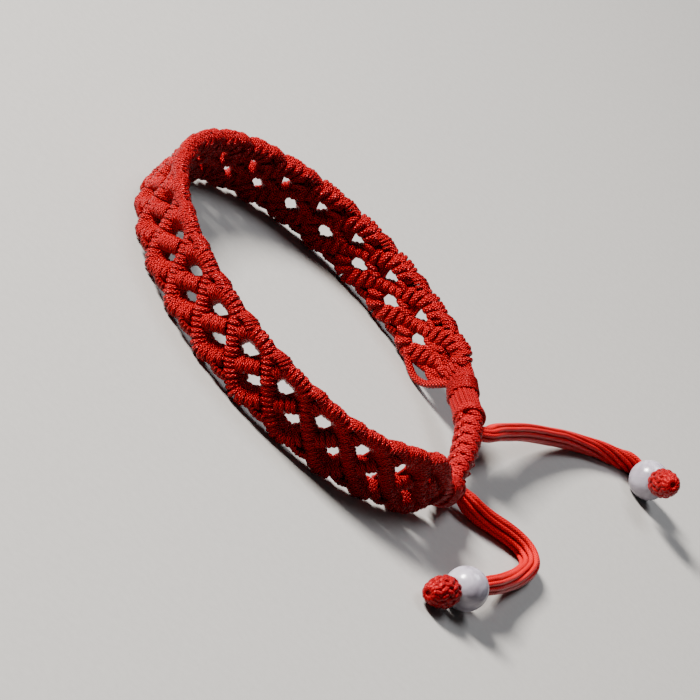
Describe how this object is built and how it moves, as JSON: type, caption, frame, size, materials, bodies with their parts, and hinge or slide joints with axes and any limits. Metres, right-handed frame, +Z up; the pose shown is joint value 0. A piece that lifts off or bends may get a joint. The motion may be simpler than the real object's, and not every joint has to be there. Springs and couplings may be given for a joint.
{
  "type": "braided cord bracelet",
  "caption": "Openwork knotted cord bracelet with a sliding knot closure and two tails, each with a drilled stone bead and an end knot.",
  "frame": {"origin": "on the surface that the bracelet lies on, at the middle of the loop's box", "axes": "+Z up along the loop's axis, +X towards the sliding knot and the tails, +Y across them"},
  "size_m": [0.0978, 0.0853, 0.01],
  "materials": {
    "cord": "satin",
    "bead_stone": "polished"
  },
  "bodies": {
    "root": {"band": "cord", "rear_wrap": "cord", "front_wrap": "cord", "sliding_knot": "cord", "rear_tail": "cord", "front_tail": "cord", "rear_bead": "bead_stone", "front_bead": "bead_stone", "rear_end_knot": "cord", "front_end_knot": "cord"}
  },
  "joints": []
}
